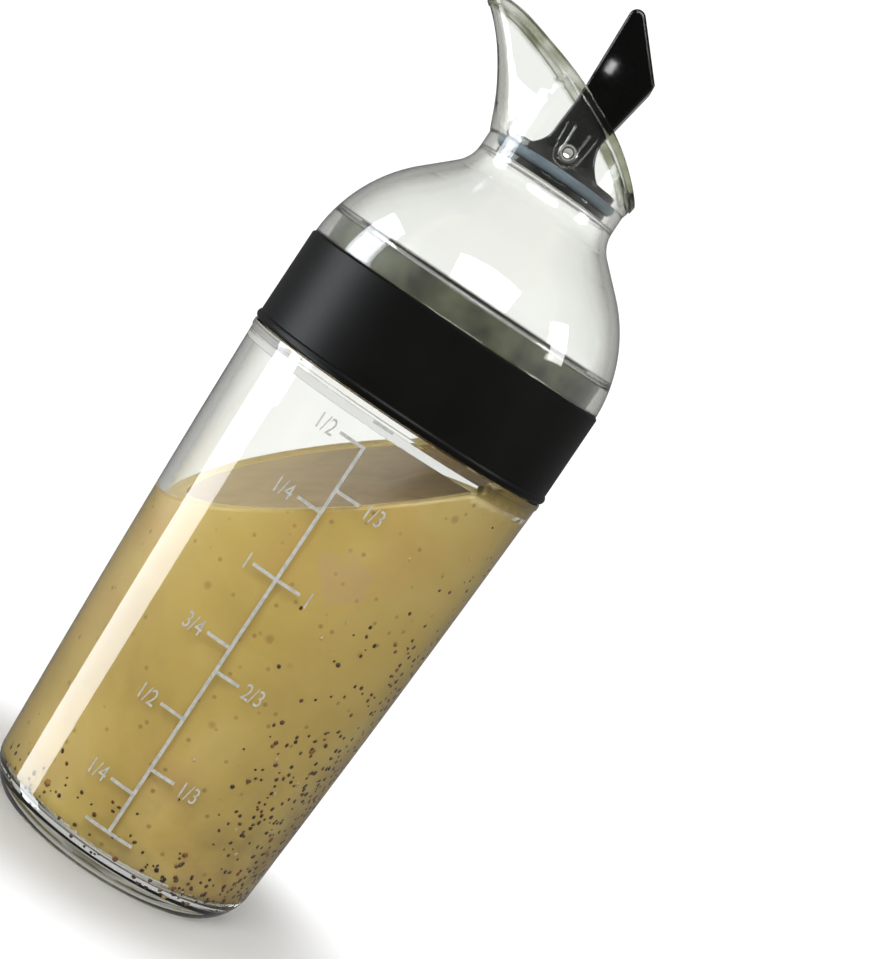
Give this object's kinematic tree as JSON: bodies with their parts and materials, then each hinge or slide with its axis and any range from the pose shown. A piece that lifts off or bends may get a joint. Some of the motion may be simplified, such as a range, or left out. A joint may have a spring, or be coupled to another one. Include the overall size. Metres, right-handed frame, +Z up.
{
  "type": "salad dressing shaker bottle",
  "caption": "Clear tapered shaker bottle with a screw-on domed pouring lid, a black grip band, a slanted spout and a black flip lever that lifts a sealed stopper.",
  "frame": {"origin": "on the bottle's axis, on the surface that the foot ring stands on", "axes": "+Z up along the bottle's axis, -X towards the pouring tip, Y along the stopper's pivot pin"},
  "size_m": [0.075, 0.075, 0.2152],
  "materials": {
    "clear_container": "clear moulded copolyester, polished",
    "gasket_silicone": "translucent silicone, satin",
    "clear_lid": "clear moulded copolyester, polished",
    "soft_grip": "soft-touch elastomer, fine matte",
    "pin_steel": "ground stainless steel",
    "black_lever": "moulded ABS, semi-gloss",
    "seal_silicone": "blue-grey silicone, satin",
    "black_retainer": "moulded ABS, semi-gloss"
  },
  "bodies": {
    "container": {"container": "clear_container"},
    "gasket_ring": {"rim_gasket": "gasket_silicone"},
    "lid": {"pour_top": "clear_lid", "grip_band": "soft_grip"},
    "stopper": {"stopper_lever": "black_lever", "stopper_seal": "seal_silicone", "seal_retainer": "black_retainer", "pivot_pin": "pin_steel"}
  },
  "joints": [
    {"name": "lid_rise", "type": "slide", "parent": "container", "child": "gasket_ring", "axis": [0, 0, 1], "range_m": [0, 0.0075]},
    {"name": "lid_turn", "type": "hinge", "parent": "gasket_ring", "child": "lid", "pos_m": [0, 0, 0.115], "axis": [0, 0, 1], "range_deg": [0, 450]},
    {"name": "lever_tilt", "type": "hinge", "parent": "lid", "child": "stopper", "pos_m": [0, 0, 0.181], "axis": [0, 1, 0], "range_deg": [0, 50]}
  ],
  "couplings": [
    {"joint": "lid_turn", "follows": "lid_rise", "rad_per_m": 1047.2}
  ]
}
